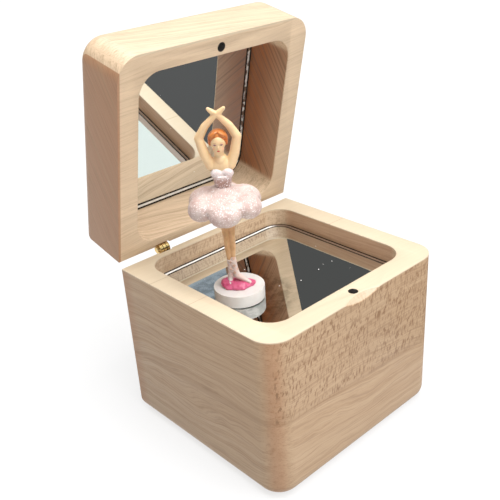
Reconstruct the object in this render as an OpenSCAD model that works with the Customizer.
// Ballerina jewellery box: a maple box with a mirrored tray, a mirrored lid on two brass
// hinges, a clockwork musical movement below the tray and a dancer that turns on the mirror.
// Origin: middle of the underside. +X runs along the hinges, -Y is the front, +Z is up.

/* [Wooden box] */
// Width of the box, along the hinges
box_w = 100; // [92:1:130]
// Depth of the box, front to back
box_d = 91.2; // [86:0.2:120]
// Height of the body without the lid
body_h = 74; // [72:0.5:90]
// Thickness of the body's side walls
side_wall = 9.55; // [7:0.05:11]
// Thickness of the body's front wall
front_wall = 9.86; // [7:0.02:11]
// Thickness of the body's back wall
back_wall = 4; // [3.2:0.1:6]
// Radius of the two upright corners at the front
corner_r = 10; // [9:0.5:14]
// Radius of the body's rounded bottom edges
foot_r = 6.3; // [3:0.1:8]
// Radius of the corners of every recess
recess_r = 10; // [6:0.5:12]
// Width of the ledge that carries the tray mirror and the bottom panel
ledge_w = 3; // [2:0.5:4]
// Depth of the tray, from the rim down to the mirror
tray_depth = 8; // [5:0.5:10]
// Depth of the pocket under the box that hides the winding key
key_pocket = 16; // [15:0.5:20]
// Thickness of the bottom panel
panel_t = 4; // [3:0.5:6]

/* [Lid] */
// Height of the lid
lid_h = 28.1; // [26:0.1:34]
// Thickness of the lid's side walls
lid_side_wall = 9.6; // [7:0.1:11]
// Thickness of the lid's front wall
lid_front_wall = 8.3; // [7:0.1:11]
// Thickness of the lid's back wall
lid_back_wall = 4.4; // [3.2:0.1:6]
// Radius of the lid's rounded top edges
crown_r = 7.3; // [3:0.1:8]
// Depth from the lid's rim to its mirror
lid_mirror_depth = 22.9; // [18:0.1:23]
// Gap between the two rims when the lid is shut
lid_gap = 0.3; // [0.2:0.05:1]
// Angle to which the lid is open
lid_open = 77; // [60:1:85]
// Width of the finger scoop in the front edge
scoop_w = 22; // [14:1:30]
// How far the scoop reaches back over the rim
scoop_in = 3; // [2:0.25:4]
// How far the scoop reaches down the front
scoop_down = 2.5; // [1.5:0.25:4]

/* [Mirrors and magnets] */
// Thickness of both mirrors
mirror_t = 2; // [1.5:0.25:3]
// Gap round each mirror
mirror_gap = 0.2; // [0.1:0.05:0.5]
// Radius of the closing magnets
catch_r = 2; // [1.5:0.25:2.5]
// Length of the closing magnets
catch_l = 3; // [2:0.5:5]
// Distance from the front face to the middle of a closing magnet
catch_in = 5; // [4.5:0.1:5.5]

/* [Hinges] */
// Distance of each hinge from the middle of the box
hinge_x = 26.5; // [20:0.5:32]
// Length of a hinge's knuckles
hinge_l = 5; // [4:0.5:8]
// Width of a hinge leaf
leaf_w = 9; // [8:0.5:14]
// Distance of the hinge axis behind the back face
axis_out = 2.2; // [2.2:0.1:3]
// Height of the hinge axis above the body's rim
axis_up = 0.5; // [0:0.1:1]
// Radius of the knuckles
knuckle_r = 2.6; // [2:0.1:2.8]
// Radius of the hinge pins
hinge_pin_r = 0.8; // [0.6:0.1:1]
// Thickness of a hinge leaf
leaf_t = 0.8; // [0.6:0.1:1]
// Height of a hinge leaf below or above the axis
leaf_h = 11; // [9:0.5:14]
// Gap between neighbouring knuckles
knuckle_gap = 0.3; // [0.2:0.05:0.5]

/* [Clockwork] */
// Gap between the spring housing and the ledge at its left
barrel_side_gap = 1.95; // [1:0.05:3]
// Distance of the winding shaft behind the middle
shaft_back = 0.7; // [0:0.1:2]
// Radius of the winding shaft
shaft_r = 1.5; // [1.2:0.1:2]
// Running clearance round every shaft
run_gap = 0.05; // [0.02:0.01:0.09]
// Thickness of the movement's bedplate
bed_t = 2.5; // [2:0.25:3]
// Outer radius of the spring housing
barrel_r = 12.5; // [11:0.25:13]
// Height of the spring housing
barrel_h = 12; // [10:0.5:13]
// Wall of the spring housing
barrel_wall = 1; // [0.8:0.1:1.5]
// Thickness of the mainspring's strip
strip_t = 0.35; // [0.25:0.05:0.5]
// Turns of the mainspring
strip_turns = 6; // [4:1:7]
// Teeth of the crown wheel on the winding shaft
crown_teeth = 40; // [36:1:44]
// Middle radius of the crown wheel's teeth
crown_teeth_r = 11.5; // [10.5:0.1:11.5]
// Teeth of the pinion on the tune cylinder
cylinder_pinion_teeth = 10; // [9:1:12]
// Depth to which crown wheel and pinion mesh
crown_mesh = 0.9; // [0.6:0.1:1]
// Radius of the tune cylinder
cylinder_r = 7.5; // [6:0.25:8]
// Length of the tune cylinder
cylinder_l = 22; // [20:0.5:23]
// Height of the pins on the tune cylinder
tune_pin_h = 0.6; // [0.4:0.1:0.8]
// Notes in the comb
notes = 18; // [12:1:20]
// Rows of pins round the tune cylinder
pin_rows = 24; // [12:1:30]
// Thickness of the comb's teeth
comb_t = 1; // [0.8:0.1:1.4]
// Length of the comb's longest tooth
comb_tooth_l = 14; // [12:0.5:15]
// Depth of the comb's solid back
comb_back = 5; // [4:0.5:6]
// Module of the governor's gears
gear_module = 0.5; // [0.45:0.01:0.52]
// Teeth of the gear on the end of the tune cylinder
drum_teeth = 36; // [34:1:38]
// Teeth of the governor's pinion
governor_pinion_teeth = 10; // [9:1:12]
// Teeth of the governor's worm wheel
worm_wheel_teeth = 30; // [28:1:30]
// Radius of the worm
worm_r = 1.5; // [1.2:0.1:1.8]
// Radius of the fan that brakes the clockwork
fan_r = 5; // [4:0.5:5]
// Radius of the turning magnet carrier under the mirror
rotor_r = 9; // [7:0.5:10]
// Span of the winding key's wings
key_w = 22; // [18:1:24]

/* [Dancer] */
// Radius of the dancer's round stand
stand_r = 10.5; // [9:0.5:12]
// Height of the stand
stand_h = 5.4; // [4:0.1:8]
// Thickness of the felt glide under the stand
glide_t = 0.3; // [0.2:0.05:0.6]
// Angle by which the dancer faces left of the front
dancer_turn = 41.7; // [0:0.1:90]
// Height of the dancer, from the stand to her finger tips
dancer_h = 74.2; // [66:0.1:78]

/* [Hidden] */
$fn = 48;
limb_fn = 16;
cut = 1;           // how far a cutting shape runs past the surface that it cuts
touch = 0.001;     // overlap of two shapes of one solid that only meet in a face

// Recesses in the wood
tray_x = box_w / 2 - side_wall;
tray_front = -box_d / 2 + front_wall;
tray_back = box_d / 2 - back_wall;
lid_x = box_w / 2 - lid_side_wall;
lid_front = -box_d / 2 + lid_front_wall;
lid_back = box_d / 2 - lid_back_wall;
lid_z = body_h + lid_gap;
lid_mirror_z = lid_z + lid_mirror_depth;
catch_y = -box_d / 2 + catch_in;

// Heights of what is stacked in the body
mirror_z = body_h - tray_depth;
panel_z = key_pocket;
bed_z = panel_z + panel_t;
barrel_z = bed_z + bed_t;
crown_gap = 0.5;
crown_disc_t = 1.4;
crown_z = barrel_z + barrel_h + crown_gap;
crown_tooth_h = 1.6;
crown_top = crown_z + crown_disc_t + crown_tooth_h;

// The winding shaft and what turns on it
shaft_x = -(tray_x - ledge_w) + barrel_r + barrel_side_gap;
shaft_y = shaft_back;
shaft_gap = 0.5;
carrier_t = 3.5;
carrier_z = mirror_z - mirror_t - shaft_gap - carrier_t;
magnet_r = 2.5;
magnet_t = 2;
magnet_orbit = 5;
key_t = 2;
key_wing_h = 9;
key_z = 2.5;
key_sleeve_r = 3;
key_sleeve_h = 12;
panel_hole_r = 4.5;

// The pitch of the crown wheel's teeth sets the pinion's size
crown_tooth_pitch = 2 * PI * crown_teeth_r / crown_teeth;
crown_tooth_w = 2;
pinion_pitch_r = cylinder_pinion_teeth * crown_tooth_pitch / (2 * PI);
pinion_tip = 0.45;
pinion_root = 0.75;
pinion_l = 3;
pinion_x = shaft_x + crown_teeth_r - pinion_l / 2;

// The tune cylinder lies along X, in line with the winding shaft
drum_z = crown_top - crown_mesh + pinion_pitch_r + pinion_tip;
bracket_t = 1.5;
bracket_w = 7;
bracket_gap = 0.9;
crown_wheel_r = crown_teeth_r + crown_tooth_w / 2;
left_bracket_x = shaft_x + max(barrel_r, crown_wheel_r) + bracket_gap;
drum_x = left_bracket_x + bracket_t + bracket_gap;
drum_wall = 0.8;
drum_gear_t = 1.5;
drum_gear_x = drum_x + cylinder_l;
right_bracket_x = drum_gear_x + drum_gear_t + bracket_gap;
drum_arbor_r = 1;
tune_pin_r = 0.22;

// The comb reaches from the front to just short of the pins
comb_gap = 0.15;
comb_tip_y = shaft_y - cylinder_r - tune_pin_h - comb_gap;
comb_pitch = (cylinder_l - 1) / notes;
comb_slot = 0.25;
comb_x = drum_x + 0.5;
comb_w = comb_pitch * notes;
comb_z = drum_z - comb_t / 2;
comb_short = 0.22;          // how much of a tooth the highest note has lost
comb_seat_y = comb_tip_y - comb_tooth_l - comb_back;
comb_screw_r = 1;
comb_screw_grip = 4;        // length of thread in the bedplate's comb seat
comb_head_r = 1.8;
comb_head_h = 1;

// The governor lies behind the tune cylinder
addendum = 0.9 * gear_module;
dedendum = 1.25 * gear_module;
drum_gear_r = drum_teeth * gear_module / 2;
gov_pinion_r = governor_pinion_teeth * gear_module / 2;
worm_wheel_r = worm_wheel_teeth * gear_module / 2;
gear_backlash = 0.1;
governor_y = shaft_y + drum_gear_r + gov_pinion_r + gear_backlash;
governor_arbor_r = 0.6;
gov_pinion_l = 2.5;
worm_wheel_t = 1.2;
worm_gap = 0.2;
worm_l = 6;
frame_t = 1.2;
frame_left_x = drum_gear_x - 2.4;
worm_wheel_x = right_bracket_x + bracket_t + 1.3;
frame_right_x = worm_wheel_x + worm_wheel_t + 1.2;
fan_x = worm_wheel_x + worm_wheel_t / 2;
fan_y = governor_y + worm_wheel_r + addendum + worm_gap + worm_r;
fan_z = barrel_z + 4;
fan_gap = 0.6;
fan_h = drum_z - worm_wheel_r - addendum - fan_gap - fan_z;
fan_t = 0.5;
fan_shaft_r = 0.5;
fan_shaft_top = drum_z + worm_l / 2 + 3;
frame_wall_y = fan_y + fan_r + 0.8;
frame_wall_t = 1.5;
frame_top = fan_shaft_top + 0.2;
bed_front_y = comb_seat_y - 0.5;
bed_back_y = frame_wall_y + frame_wall_t;
bed_left_x = shaft_x - barrel_r;
bed_right_x = frame_right_x + frame_t + 1;

// The hinge axis and what turns about it
axis_y = box_d / 2 + axis_out;
axis_z = body_h + axis_up;
knuckle_l = (hinge_l - 2 * knuckle_gap) / 3;
knuckle_cut = 0.4;
pin_head_l = 0.8;
pin_head_gap = 0.1;
screw_r = 0.7;
screw_head_r = 1.3;
screw_head_h = 0.6;
screw_l = 3;
screw_z = 7.5;
screw_edge = 1.9;
screw_dx = leaf_w / 2 - screw_edge;

// The dancer stands on the mirror above the winding shaft
stand_z = mirror_z + glide_t;
stand_top = stand_z + stand_h;
body_x = -3.6;      // her waist lies this far to her right of the stand's middle

// ---------- shapes used more than once ----------

// Outline with round corners at the front and square ones at the back
module box_plan(w, d, r) {
    translate([-w / 2, -d / 2 + r]) square([w, d - r]);
    translate([-w / 2 + r, -d / 2]) square([w - 2 * r, r + touch]);
    for (s = [-1, 1]) translate([s * (w / 2 - r), -d / 2 + r]) circle(r);
}

// Outline between two X and two Y values with four round corners
module recess_plan(x, y0, y1, r) {
    translate([-x + r, y0]) square([2 * (x - r), y1 - y0]);
    translate([-x, y0 + r]) square([2 * x, y1 - y0 - 2 * r]);
    for (s = [-1, 1], y = [y0 + r, y1 - r]) translate([s * (x - r), y]) circle(r);
}

// Upright post whose lower rim is rounded with radius e
module rounded_post(r, h, e) {
    rotate_extrude() {
        square([r - e, h]);
        translate([0, e]) square([r, h - e]);
        intersection() {
            translate([r - e, e]) circle(e);
            square([r, h]);
        }
    }
}

// Block with rounded lower edges, round front corners and square back corners
module rounded_block(w, d, h, r, e) {
    x = w / 2;
    y = d / 2;
    translate([0, 0, e]) linear_extrude(h - e) box_plan(w, d, r);
    linear_extrude(e + touch) box_plan(w - 2 * e, d - 2 * e, r - e);
    for (s = [-1, 1]) {
        translate([s * (x - r), -y + r, 0]) rounded_post(r, h, e);
        intersection() {
            translate([s * (x - e), -y + r, e]) rotate([-90, 0, 0]) cylinder(r = e, h = d - r);
            translate([-x, y - e, e]) rotate([0, 90, 0])
                union() {
                    cylinder(r = e, h = w);
                    translate([-h, -d + e, 0]) cube([h + e, d - e, w]);
                }
        }
    }
    translate([-x + r, -y + e, e]) rotate([0, 90, 0]) cylinder(r = e, h = w - 2 * r);
    translate([-x + e, y - e, e]) rotate([0, 90, 0]) cylinder(r = e, h = w - 2 * e);
}

// Puts its children where they lie on the open lid
module on_lid() {
    translate([0, axis_y, axis_z]) rotate([-lid_open, 0, 0]) translate([0, -axis_y, -axis_z])
        children();
}

// Cylinder along X from x0
module bar_x(x0, y, z, r, l) {
    translate([x0, y, z]) rotate([0, 90, 0]) cylinder(r = r, h = l);
}

// Flat gear outline with straight-sided teeth
module gear_plan(teeth, pitch_r, tip, root) {
    tooth = 2 * PI * pitch_r / teeth;
    circle(pitch_r - root);
    for (i = [0 : teeth - 1]) rotate(i * 360 / teeth)
        polygon([
            [pitch_r - root - 0.2, -0.24 * tooth], [pitch_r, -0.17 * tooth],
            [pitch_r + tip, -0.1 * tooth], [pitch_r + tip, 0.1 * tooth],
            [pitch_r, 0.17 * tooth], [pitch_r - root - 0.2, 0.24 * tooth]
        ]);
}

// Countersunk or round-headed screw whose head lies at the origin and whose shank runs down
module screw(r, l, head_r, head_h) {
    translate([0, 0, -l]) cylinder(r = r, h = l);
    difference() {
        cylinder(r1 = head_r, r2 = head_r * 0.8, h = head_h);
        translate([-head_r, -0.15, head_h * 0.6]) cube([2 * head_r, 0.3, head_h]);
    }
}

// Tapering round limb between two points of the figure
module limb(a, b, ra, rb) {
    hull() {
        translate(a) sphere(ra, $fn = limb_fn);
        translate(b) sphere(rb, $fn = limb_fn);
    }
}

// Puts its children in the dancer's own frame: +X to her left as she faces -Y
module on_stand() {
    translate([shaft_x, shaft_y, stand_top]) rotate(-dancer_turn) scale(figure_k) children();
}

// ---------- the wooden box ----------

module box_body() {
    color("burlywood") difference() {
        rounded_block(box_w, box_d, body_h, corner_r, foot_r);
        translate([0, 0, mirror_z - mirror_t]) linear_extrude(tray_depth + mirror_t + cut)
            recess_plan(tray_x, tray_front, tray_back, recess_r);
        translate([0, 0, -cut]) linear_extrude(panel_z + panel_t + cut)
            recess_plan(tray_x, tray_front, tray_back, recess_r);
        linear_extrude(body_h) recess_plan(tray_x - ledge_w, tray_front + ledge_w,
            tray_back - ledge_w, recess_r - ledge_w);
        finger_scoop();
        translate([0, catch_y, body_h - catch_l]) cylinder(r = catch_r, h = catch_l + cut);
        hinge_reliefs(screw_side = -1);
        for (p = panel_screw_points) translate([p.x, p.y, bed_z - cut])
            cylinder(r = screw_r, h = screw_l + cut);
    }
}

// Shallow lens-shaped scoop, the cut of one large ball
module finger_scoop() {
    out = (scoop_w * scoop_w / 4 - scoop_in * scoop_in) / (2 * scoop_in);
    up = (scoop_w * scoop_w / 4 - scoop_down * scoop_down) / (2 * scoop_down);
    ball_r = sqrt(out * out + up * up + scoop_w * scoop_w / 4);
    translate([0, -box_d / 2 - out, body_h + up]) sphere(ball_r, $fn = 96);
}

// Room for the knuckles in the back edge, and the holes of the leaf screws
module hinge_reliefs(screw_side) {
    relief_l = hinge_l + 2 * pin_head_l + 2 * knuckle_cut;
    for (s = [-1, 1]) {
        bar_x(s * hinge_x - relief_l / 2, axis_y, axis_z, knuckle_r + knuckle_cut, relief_l);
        for (dx = [-screw_dx, screw_dx])
            translate([s * hinge_x + dx, box_d / 2 - screw_l, axis_z + screw_side * screw_z])
                rotate([-90, 0, 0]) cylinder(r = screw_r, h = screw_l + cut);
    }
}

panel_screw_in = 5;
panel_screw_points = [for (s = [-1, 1], y = [tray_front + panel_screw_in + recess_r,
    tray_back - panel_screw_in - recess_r]) [s * (tray_x - ledge_w / 2), y]];
left_screw_in = 2.5;
left_screw_up = 1;
right_screw_in = 4;
rear_screw_in = [8, 6];
movement_screw_points = [[bed_left_x + left_screw_in, shaft_y - barrel_r + left_screw_up],
    [bed_right_x - right_screw_in, bed_front_y + right_screw_in],
    [bed_right_x - rear_screw_in.x, bed_back_y - rear_screw_in.y]];

module bottom_panel() {
    color("tan") difference() {
        translate([0, 0, panel_z]) linear_extrude(panel_t) recess_plan(tray_x - mirror_gap,
            tray_front + mirror_gap, tray_back - mirror_gap, recess_r - mirror_gap);
        translate([shaft_x, shaft_y, 0]) cylinder(r = panel_hole_r, h = body_h);
        for (p = concat(panel_screw_points, movement_screw_points))
            translate([p.x, p.y, 0]) cylinder(r = screw_r, h = body_h);
    }
}

module panel_screws() {
    color("gold") for (p = panel_screw_points) translate([p.x, p.y, panel_z])
        mirror([0, 0, 1]) screw(screw_r, panel_t + screw_l, screw_head_r, screw_head_h);
}

module tray_mirror() {
    color("lightsteelblue") translate([0, 0, mirror_z - mirror_t]) linear_extrude(mirror_t)
        recess_plan(tray_x - mirror_gap, tray_front + mirror_gap, tray_back - mirror_gap,
            recess_r - mirror_gap);
}

module body_magnet() {
    color("dimgray") translate([0, catch_y, body_h - catch_l])
        cylinder(r = catch_r, h = catch_l);
}

// ---------- the lid ----------

module lid() {
    color("wheat") on_lid() difference() {
        translate([0, 0, lid_z + lid_h]) mirror([0, 0, 1])
            rounded_block(box_w, box_d, lid_h, corner_r, crown_r);
        translate([0, 0, lid_z - cut]) linear_extrude(lid_mirror_depth + mirror_t + cut)
            recess_plan(lid_x, lid_front, lid_back, recess_r);
        translate([0, catch_y, lid_z - cut]) cylinder(r = catch_r, h = catch_l + cut);
        hinge_reliefs(screw_side = 1);
    }
}

module lid_mirror() {
    color("lightsteelblue") on_lid() translate([0, 0, lid_mirror_z]) linear_extrude(mirror_t)
        recess_plan(lid_x - mirror_gap, lid_front + mirror_gap, lid_back - mirror_gap,
            recess_r - mirror_gap);
}

module lid_magnet() {
    color("dimgray") on_lid() translate([0, catch_y, lid_z]) cylinder(r = catch_r, h = catch_l);
}

// ---------- hinges ----------

// One leaf: side is -1 below the axis and 1 above it; list holds its knuckles' places
module hinge_leaf(x, side, list) {
    step = knuckle_l + knuckle_gap;
    clear = knuckle_r + knuckle_cut;
    difference() {
        union() {
            translate([x - leaf_w / 2, box_d / 2, axis_z + (side < 0 ? -leaf_h : clear)])
                cube([leaf_w, leaf_t, leaf_h - clear]);
            for (i = list) {
                bar_x(x + i * step - knuckle_l / 2, axis_y, axis_z, knuckle_r, knuckle_l);
                translate([x + i * step - knuckle_l / 2, box_d / 2,
                    axis_z + (side < 0 ? -clear - touch : 0)])
                    cube([knuckle_l, leaf_t, clear + touch]);
            }
        }
        bar_x(x - hinge_l, axis_y, axis_z, hinge_pin_r + (side > 0 ? run_gap : 0), 2 * hinge_l);
        for (dx = [-screw_dx, screw_dx]) translate([x + dx, box_d / 2 - cut,
            axis_z + side * screw_z]) rotate([-90, 0, 0]) cylinder(r = screw_r, h = 3 * cut);
    }
}

module body_hinge_leaves() {
    color("darkgoldenrod") for (s = [-1, 1]) hinge_leaf(s * hinge_x, -1, [-1, 1]);
}

module lid_hinge_leaves() {
    color("darkgoldenrod") on_lid() for (s = [-1, 1]) hinge_leaf(s * hinge_x, 1, [0]);
}

module hinge_pins() {
    color("goldenrod") for (s = [-1, 1]) {
        bar_x(s * hinge_x - hinge_l / 2, axis_y, axis_z, hinge_pin_r, hinge_l);
        for (e = [-1, 1]) translate([s * hinge_x + e * hinge_l / 2, axis_y, axis_z])
            rotate([0, 90 * e, 0])
                cylinder(r1 = knuckle_r - pin_head_gap, r2 = knuckle_r / 2, h = pin_head_l);
    }
}

module leaf_screws(side) {
    for (s = [-1, 1], dx = [-screw_dx, screw_dx])
        translate([s * hinge_x + dx, box_d / 2 + leaf_t, axis_z + side * screw_z])
            rotate([-90, 0, 0]) screw(screw_r, screw_l + leaf_t, screw_head_r, screw_head_h);
}

module body_hinge_screws() {
    color("gold") leaf_screws(-1);
}

module lid_hinge_screws() {
    color("gold") on_lid() leaf_screws(1);
}

// ---------- the clockwork: frame and spring ----------

module bedplate() {
    color("silver") difference() {
        union() {
            translate([shaft_x, shaft_y, bed_z]) cylinder(r = barrel_r, h = bed_t);
            translate([shaft_x, shaft_y - barrel_r, bed_z])
                cube([bed_right_x - shaft_x, 2 * barrel_r, bed_t]);
            translate([comb_x - 3, bed_front_y, bed_z])
                cube([bed_right_x - comb_x + 3, bed_back_y - bed_front_y, bed_t]);
            translate([comb_x, comb_seat_y, barrel_z - touch])
                cube([comb_w, comb_back, comb_z - barrel_z + touch]);
        }
        translate([shaft_x, shaft_y, 0]) cylinder(r = shaft_r + run_gap, h = body_h);
        for (p = movement_screw_points) translate([p.x, p.y, 0]) cylinder(r = screw_r, h = body_h);
        for (x = comb_screw_x) translate([x, comb_seat_y + comb_back / 2,
            comb_z - comb_screw_grip]) cylinder(r = comb_screw_r, h = comb_screw_grip + cut);
    }
}

module movement_screws() {
    color("silver") for (p = movement_screw_points) translate([p.x, p.y, panel_z])
        mirror([0, 0, 1]) screw(screw_r, panel_t + bed_t, screw_head_r, screw_head_h);
}

module spring_housing() {
    color("gainsboro") translate([shaft_x, shaft_y, barrel_z]) difference() {
        rotate_extrude() {
            difference() {
                square([barrel_r, barrel_h]);
                translate([-cut, barrel_wall])
                    square([barrel_r - barrel_wall + cut, barrel_h - 2 * barrel_wall]);
            }
        }
        translate([0, 0, -cut]) cylinder(r = shaft_r + run_gap, h = barrel_h + 2 * cut);
    }
}

// Flat strip wound from the shaft to the housing's wall
function strip_point(t, r0, r1, turns) =
    let (r = r0 + (r1 - r0) * t, a = 360 * turns * t) [r * cos(a), r * sin(a)];
strip_steps = 16;
strip_inner_r = shaft_r + 1.2;
strip_outer_r = barrel_r - barrel_wall - strip_t - 0.3;

module mainspring() {
    n = strip_steps * strip_turns;
    inner = [for (i = [0 : n]) strip_point(i / n, strip_inner_r, strip_outer_r, strip_turns)];
    outer = [for (i = [n : -1 : 0])
        strip_point(i / n, strip_inner_r + strip_t, strip_outer_r + strip_t, strip_turns)];
    color("slategray") translate([shaft_x, shaft_y, barrel_z + barrel_wall + 0.3])
        linear_extrude(barrel_h - 2 * barrel_wall - 0.6) polygon(concat(inner, outer));
}

// ---------- the clockwork: what turns with the key ----------

module winding_shaft() {
    color("lightgray") translate([shaft_x, shaft_y, key_z + key_t])
        cylinder(r = shaft_r, h = carrier_z + carrier_t - key_z - key_t);
}

module crown_wheel() {
    color("khaki") translate([shaft_x, shaft_y, crown_z]) difference() {
        union() {
            cylinder(r = crown_wheel_r, h = crown_disc_t);
            cylinder(r = 3, h = crown_disc_t + crown_tooth_h);
            for (i = [0 : crown_teeth - 1]) rotate((i + 0.5) * 360 / crown_teeth)
                translate([crown_teeth_r - crown_tooth_w / 2, 0, crown_disc_t - touch])
                    crown_tooth();
        }
        translate([0, 0, -cut]) cylinder(r = shaft_r, h = crown_disc_t + crown_tooth_h + 2 * cut);
    }
}

// One upright tooth of the crown wheel, along its radius
module crown_tooth() {
    foot = 0.2 * crown_tooth_pitch;
    tip = 0.11 * crown_tooth_pitch;
    rotate([90, 0, 90]) linear_extrude(crown_tooth_w - 0.1)
        polygon([[-foot, 0], [foot, 0], [tip, crown_tooth_h + touch], [-tip, crown_tooth_h + touch]]);
}

// Butterfly key: two round wings on a sleeve
module winding_key() {
    color("silver") translate([shaft_x, shaft_y, key_z]) difference() {
        union() {
            cylinder(r = key_sleeve_r, h = key_sleeve_h);
            for (s = [-1, 1]) translate([s * (key_w / 2 - key_wing_h / 2), key_t / 2, key_wing_h / 2])
                rotate([90, 0, 0]) cylinder(r = key_wing_h / 2, h = key_t);
            translate([-key_w / 2 + key_wing_h / 2, -key_t / 2, key_wing_h / 2 - 2])
                cube([key_w - key_wing_h, key_t, 4]);
        }
        translate([0, 0, key_t]) cylinder(r = shaft_r, h = key_sleeve_h);
        for (s = [-1, 1]) translate([s * (key_w / 2 - key_wing_h / 2), key_t, key_wing_h / 2])
            rotate([90, 0, 0]) cylinder(r = key_wing_h / 4, h = 2 * key_t);
    }
}

module magnet_carrier() {
    color("white") translate([shaft_x, shaft_y, carrier_z]) difference() {
        cylinder(r = rotor_r, h = carrier_t);
        translate([0, 0, -cut]) cylinder(r = shaft_r, h = carrier_t + 2 * cut);
        for (s = [-1, 1]) translate([s * magnet_orbit, 0, carrier_t - magnet_t])
            cylinder(r = magnet_r, h = magnet_t + cut);
    }
}

module carrier_magnets() {
    color("dimgray") for (s = [-1, 1])
        translate([shaft_x + s * magnet_orbit, shaft_y, carrier_z + carrier_t - magnet_t])
            cylinder(r = magnet_r, h = magnet_t);
}

// ---------- the clockwork: tune cylinder and comb ----------

// The tune: which of the notes sounds in a row, spread by two steps that share no factor
function sounds(row, note) = (row * 7 + note * 5) % 9 == 0;

module tune_cylinder() {
    color("gold") translate([drum_x, shaft_y, drum_z]) rotate([0, 90, 0]) {
        difference() {
            union() {
                cylinder(r = cylinder_r, h = cylinder_l);
                for (row = [0 : pin_rows - 1], note = [0 : notes - 1])
                    if (sounds(row, note)) rotate((row + 0.5) * 360 / pin_rows)
                        translate([cylinder_r - 0.3, 0, 0.5 + (note + 0.5) * comb_pitch])
                            rotate([0, 90, 0]) cylinder(r = tune_pin_r, h = tune_pin_h + 0.3, $fn = 6);
            }
            translate([0, 0, drum_wall])
                cylinder(r = cylinder_r - drum_wall, h = cylinder_l - 2 * drum_wall);
            translate([0, 0, -cut]) cylinder(r = drum_arbor_r, h = cylinder_l + 2 * cut);
        }
    }
}

// Steel arbor with the pinion at one end and the large gear at the other
module cylinder_arbor() {
    color("khaki") {
        bar_x(pinion_x, shaft_y, drum_z, drum_arbor_r, right_bracket_x + bracket_t + 0.4 - pinion_x);
        translate([pinion_x, shaft_y, drum_z]) rotate([0, 90, 0]) linear_extrude(pinion_l)
            gear_plan(cylinder_pinion_teeth, pinion_pitch_r, pinion_tip, pinion_root);
        translate([drum_gear_x, shaft_y, drum_z]) rotate([0, 90, 0]) linear_extrude(drum_gear_t)
            rotate(90) gear_plan(drum_teeth, drum_gear_r, addendum, dedendum);
    }
}

module bracket(x) {
    difference() {
        union() {
            translate([x, shaft_y - bracket_w / 2, barrel_z])
                cube([bracket_t, bracket_w, drum_z - barrel_z]);
            bar_x(x, shaft_y, drum_z, bracket_w / 2, bracket_t);
        }
        bar_x(x - cut, shaft_y, drum_z, drum_arbor_r + run_gap, bracket_t + 2 * cut);
    }
}

module cylinder_brackets() {
    color("silver") {
        bracket(left_bracket_x);
        bracket(right_bracket_x);
    }
}

comb_screw_x = [comb_x + comb_w * 0.15, comb_x + comb_w * 0.5, comb_x + comb_w * 0.85];

// Steel comb: long teeth for the low notes, shorter ones for the high notes
module comb() {
    color("lightslategray") difference() {
        translate([comb_x, comb_seat_y, comb_z]) cube([comb_w, comb_back + comb_tooth_l, comb_t]);
        for (i = [1 : notes - 1]) translate([comb_x + i * comb_pitch - comb_slot / 2,
            comb_seat_y + comb_back + comb_tooth_l * comb_short * i / notes, comb_z - cut])
            cube([comb_slot, comb_tooth_l + cut, comb_t + 2 * cut]);
        for (x = comb_screw_x) translate([x, comb_seat_y + comb_back / 2, 0])
            cylinder(r = comb_screw_r, h = body_h);
    }
}

module comb_screws() {
    color("steelblue") for (x = comb_screw_x)
        translate([x, comb_seat_y + comb_back / 2, comb_z + comb_t])
            screw(comb_screw_r, comb_t + comb_screw_grip, comb_head_r, comb_head_h);
}

// ---------- the clockwork: governor ----------

// Cast frame: a back wall with two cheeks for the wheel's arbor and two arms for the fan shaft
module governor_frame() {
    cheek_y = governor_y - 2;
    color("silver") difference() {
        union() {
            translate([frame_left_x, frame_wall_y, barrel_z])
                cube([frame_right_x + frame_t - frame_left_x, frame_wall_t, frame_top - barrel_z]);
            for (x = [frame_left_x, frame_right_x])
                translate([x, cheek_y, drum_z - 2.5])
                    cube([frame_t, frame_wall_y - cheek_y + touch, 5]);
            for (z = [barrel_z, frame_top - 1.5])
                translate([fan_x - 2, fan_y - 2, z]) cube([4, frame_wall_y - fan_y + 2 + touch, 1.5]);
        }
        bar_x(frame_left_x - cut, governor_y, drum_z, governor_arbor_r + run_gap,
            frame_right_x + frame_t - frame_left_x + 2 * cut);
        translate([fan_x, fan_y, barrel_z + 0.4])
            cylinder(r = fan_shaft_r + run_gap, h = frame_top);
    }
}

module governor_wheel() {
    color("khaki") {
        bar_x(frame_left_x, governor_y, drum_z, governor_arbor_r,
            frame_right_x + frame_t - frame_left_x);
        translate([drum_gear_x + drum_gear_t / 2 - gov_pinion_l / 2, governor_y, drum_z])
            rotate([0, 90, 0]) linear_extrude(gov_pinion_l)
                rotate(270 + 180 / governor_pinion_teeth)
                    gear_plan(governor_pinion_teeth, gov_pinion_r, addendum, dedendum);
        translate([worm_wheel_x, governor_y, drum_z]) rotate([0, 90, 0])
            linear_extrude(worm_wheel_t) gear_plan(worm_wheel_teeth, worm_wheel_r, addendum, dedendum);
    }
}

// Upright shaft with the worm above and the two-bladed fan below
module fan_shaft() {
    ring_n = 5;
    ring_step = worm_l / ring_n;
    color("dimgray") translate([fan_x, fan_y, 0]) {
        translate([0, 0, barrel_z + 0.6])
            cylinder(r = fan_shaft_r, h = frame_top - barrel_z - 0.6);
        translate([0, 0, drum_z - worm_l / 2]) cylinder(r = worm_r - 0.5, h = worm_l);
        for (i = [0 : ring_n - 1]) translate([0, 0, drum_z - worm_l / 2 + i * ring_step])
            cylinder(r1 = worm_r - 0.4, r2 = worm_r, h = ring_step / 2);
        translate([-fan_r, -fan_t / 2, fan_z]) cube([2 * fan_r, fan_t, fan_h]);
        translate([0, 0, fan_z]) cylinder(r = fan_shaft_r + 0.6, h = fan_h);
    }
}

// ---------- the dancer ----------

module glide() {
    color("black") translate([shaft_x, shaft_y, mirror_z]) difference() {
        cylinder(r = stand_r - 1, h = glide_t);
        translate([0, 0, -cut]) cylinder(r = 2, h = glide_t + 2 * cut);
    }
}

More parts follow.
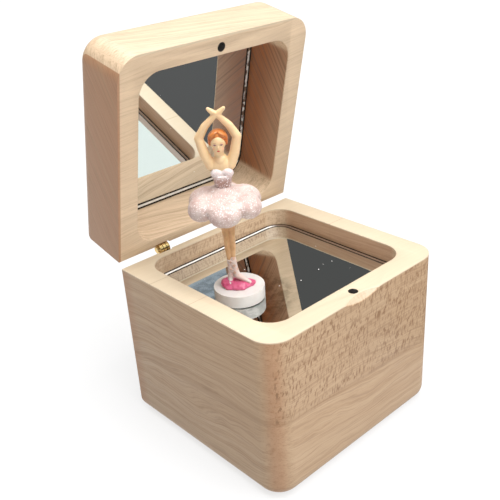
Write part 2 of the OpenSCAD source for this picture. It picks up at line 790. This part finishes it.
module stand() {
    color("white") translate([shaft_x, shaft_y, stand_z]) difference() {
        union() {
            cylinder(r = stand_r, h = stand_h - 0.5);
            translate([0, 0, stand_h - 0.5 - touch])
                cylinder(r1 = stand_r, r2 = stand_r - 0.5, h = 0.5 + touch);
        }
        for (s = [-1, 1]) translate([s * magnet_orbit, 0, -cut])
            cylinder(r = magnet_r, h = magnet_t + cut);
    }
}

module stand_magnets() {
    color("dimgray") for (s = [-1, 1])
        translate([shaft_x + s * magnet_orbit, shaft_y, stand_z]) cylinder(r = magnet_r, h = magnet_t);
}

// Flat uneven dab of resin that holds the feet: the places and radii of three sunken balls
blob_balls = [[-3.6, -0.6, -2.6, 4.6], [0.6, -1.6, -3, 4.8], [3.6, -0.2, -2.6, 4.2]];
module base_blob() {
    color("hotpink") on_stand() difference() {
        intersection() {
            union() {
                for (b = blob_balls) translate([b.x, b.y, b.z]) sphere(b[3]);
            }
            translate([-stand_r, -stand_r, 0]) cube([2 * stand_r, 2 * stand_r, stand_r]);
        }
        shoes_shape();
    }
}

ankle = [-2.4, 0.4, 11];
heel_z = 2.2;

// One shoe stands on its toe, the other is put forward to her left
module shoes_shape() {
    limb([ankle.x - ankle_out, ankle.y, ankle.z], [-2.6, 0.6, heel_z + 1], ankle_r + 0.2, 1.1);
    limb([ankle.x + ankle_out, ankle.y, ankle.z], [-1.4, -0.6, heel_z + 1], ankle_r + 0.2, 1.1);
    limb([-2.6, 0.6, heel_z + 1], [-3.4, -2.6, heel_z], 1.1, 0.8);
    limb([-1.4, -0.6, heel_z + 1], [3.6, -1.4, heel_z], 1.2, 0.8);
}

module shoes() {
    color("pink") on_stand() shoes_shape();
}

// Places and radii of her joints, in the dancer's own frame
ankle_out = 0.8;
ankle_r = 1.05;
shoe_rim = 1.4;             // the skin of a leg starts this far above the middle of the ankle
knee_out = 1.1;
knee_z = 24;
knee_r = 1.75;
hip_out = 1.4;
hip_z = 37;
hip_r = 2.5;
waist_z = 43.2;
chest_z = 47.5;
chest_r = 3.3;
shoulder_out = 3.4;
shoulder_z = 50.6;
shoulder_r = 1.85;
elbow_out = 8.4;
elbow_back = 1.6;
elbow_z = 63.9;
elbow_r = 1.65;
wrist = [-3.8, 0.4, 71.4];
wrist_r = 1;
finger_out = 2.6;
finger_z = 73.5;
finger_r = 0.7;
figure_k = dancer_h / (finger_z + finger_r);
neck_r = 1.75;
head = [body_x - 0.3, -0.6, 60.6];
face_r = 3.4;
chin_r = 2.6;

// Legs, arms, chest, neck and head, cut where shoes, tutu, bodice and hair cover them
module figure() {
    color("peachpuff") on_stand() difference() {
        skin_shape();
        shoes_shape();
        tutu_shape();
        bodice_shape();
        hair_shape();
    }
}

module skin_shape() {
    for (s = [-1, 1]) {
        knee = [ankle.x + s * knee_out, ankle.y, knee_z];
        hip = [ankle.x - 0.6 + s * hip_out, ankle.y, hip_z];
        shoulder = [body_x + s * shoulder_out, ankle.y, shoulder_z];
        elbow = [wrist.x + s * elbow_out, elbow_back, elbow_z];
        limb([ankle.x + s * ankle_out, ankle.y, ankle.z + shoe_rim], knee, ankle_r, knee_r);
        limb(knee, hip, knee_r, hip_r);
        limb(shoulder, elbow, shoulder_r, elbow_r);
        limb(elbow, [wrist.x + s * wrist_r, wrist.y, wrist.z], elbow_r, wrist_r);
        limb([wrist.x + s * wrist_r, wrist.y, wrist.z], [wrist.x - s * finger_out, wrist.y, finger_z],
            wrist_r, finger_r);
    }
    limb([body_x, ankle.y, chest_z], [body_x, ankle.y, shoulder_z + 0.6], chest_r, shoulder_r + 0.7);
    limb([body_x, ankle.y, shoulder_z + 1], [head.x, head.y, head.z - 3], neck_r + 0.3, neck_r);
    limb([head.x, head.y, head.z - 1.6], [head.x, head.y + 0.3, head.z + 1.4], chin_r, face_r);
}

// Tight bodice, a turned shape from the waist to the bust
module bodice_shape() {
    bodice_h = 7.2;
    waist_r = 2.9;
    bust_r = 4.2;
    translate([body_x, ankle.y, 0]) rotate_extrude()
        polygon([[0, waist_z - 1], [waist_r + 0.2, waist_z - 1], [waist_r, waist_z],
            [bust_r - 0.4, waist_z + bodice_h / 2], [bust_r, waist_z + bodice_h - 1.2],
            [bust_r - 0.5, waist_z + bodice_h], [0, waist_z + bodice_h]]);
}

module bodice() {
    color("thistle") on_stand() difference() {
        bodice_shape();
        tutu_shape();
    }
}

// Puffed skirt of soft lobes round the waist
lobe_n = 6;
lobe_r = 5.4;
lobe_orbit = 9.7;
lobe_z = 36.8;
skirt_hem_z = 32.5;
skirt_yoke_r = 3.4;
module tutu_shape() {
    skirt_r = lobe_orbit + lobe_r / 2;
    skirt_top = waist_z + 0.2;
    translate([body_x + 0.4, 0, 0]) {
        rotate_extrude() polygon([[0, skirt_hem_z], [lobe_orbit, skirt_hem_z - 1], [skirt_r, lobe_z],
            [lobe_orbit, lobe_z + lobe_r - 1], [skirt_yoke_r, skirt_top], [0, skirt_top]]);
        for (i = [0 : lobe_n - 1]) rotate(i * 360 / lobe_n - 90)
            translate([lobe_orbit, 0, lobe_z]) sphere(lobe_r);
    }
}

module tutu() {
    color("mistyrose") on_stand() tutu_shape();
}

module hair_shape() {
    hair_r = 4.05;
    bun_r = 2.4;
    crown_back = 0.8;
    crown_up = 1.2;
    bun_back = 3.4;
    bun_up = 2.6;
    fringe_z = head.z + 2.2;
    ear_y = head.y - 0.8;
    difference() {
        union() {
            translate([head.x, head.y + crown_back, head.z + crown_up]) sphere(hair_r);
            translate([head.x, head.y + bun_back, head.z + bun_up]) sphere(bun_r);
        }
        translate([head.x - 2 * hair_r, ear_y - 2 * hair_r, fringe_z - 2 * hair_r])
            cube([4 * hair_r, 2 * hair_r, 2 * hair_r]);
    }
}

module hair() {
    color("orangered") on_stand() hair_shape();
}

box_body();
bottom_panel();
panel_screws();
tray_mirror();
body_magnet();
lid();
lid_mirror();
lid_magnet();
body_hinge_leaves();
lid_hinge_leaves();
hinge_pins();
body_hinge_screws();
lid_hinge_screws();
bedplate();
movement_screws();
spring_housing();
mainspring();
winding_shaft();
crown_wheel();
winding_key();
magnet_carrier();
carrier_magnets();
tune_cylinder();
cylinder_arbor();
cylinder_brackets();
comb();
comb_screws();
governor_frame();
governor_wheel();
fan_shaft();
glide();
stand();
stand_magnets();
base_blob();
shoes();
figure();
bodice();
tutu();
hair();
